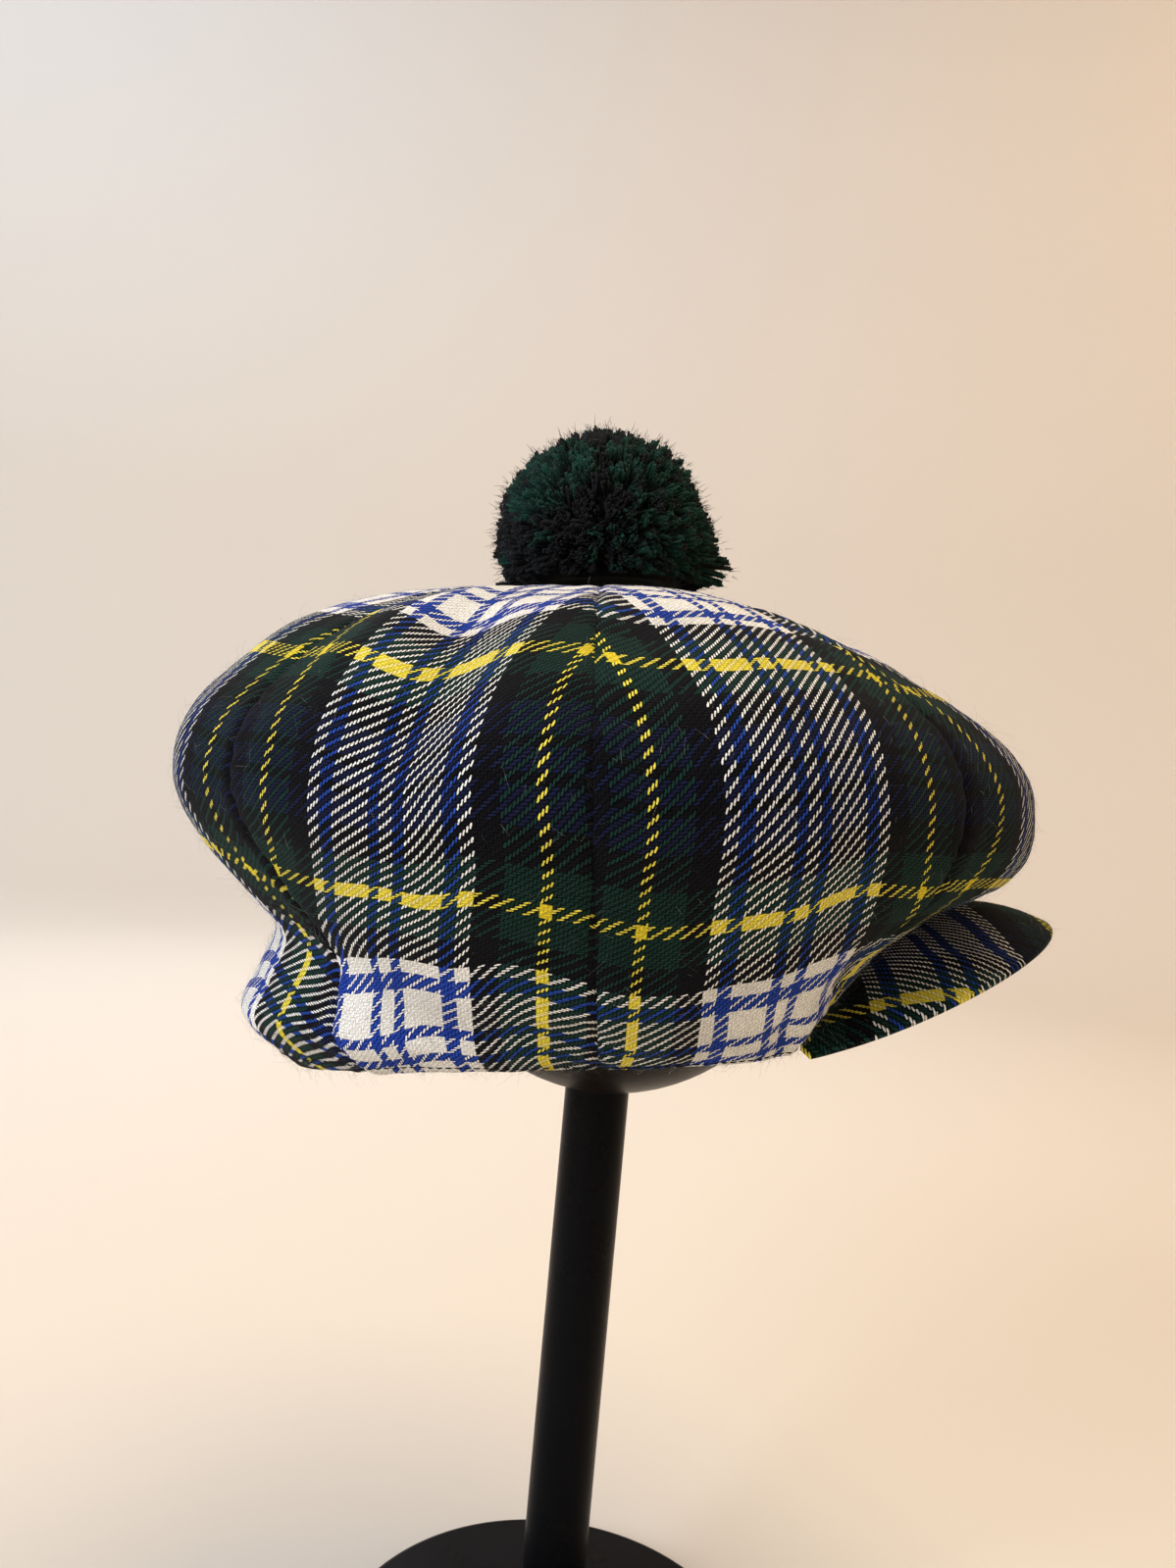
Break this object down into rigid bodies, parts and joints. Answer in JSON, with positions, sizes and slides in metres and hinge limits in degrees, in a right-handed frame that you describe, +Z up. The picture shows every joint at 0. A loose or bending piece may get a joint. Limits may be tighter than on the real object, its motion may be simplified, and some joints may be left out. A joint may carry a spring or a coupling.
{
  "type": "tam o shanter on a hat stand",
  "caption": "Tartan wool tam o shanter in gores, with a short arched peak and a wool pompom, held on a plain round-headed hat stand.",
  "frame": {"origin": "middle of the stand's foot, on the surface it stands on", "axes": "+Z up the pole, +X to the front of the cap where the peak points, +Y to the cap's left"},
  "size_m": [0.2973, 0.28, 0.4374],
  "materials": {
    "tartan_wool": "two by two twill wool in a green, black, blue, white and yellow tartan",
    "pompom_yarn": "cut wool yarn, bottle green and black",
    "stand_head_lacquer": "satin",
    "stand_metal": "satin black"
  },
  "bodies": {
    "root": {"gore_1": "tartan_wool", "gore_2": "tartan_wool", "gore_3": "tartan_wool", "gore_4": "tartan_wool", "gore_5": "tartan_wool", "gore_6": "tartan_wool", "gore_7": "tartan_wool", "gore_8": "tartan_wool", "peak": "tartan_wool", "pompom": "pompom_yarn", "stand_head": "stand_head_lacquer", "stand_pole": "stand_metal", "stand_base": "stand_metal"}
  },
  "joints": []
}
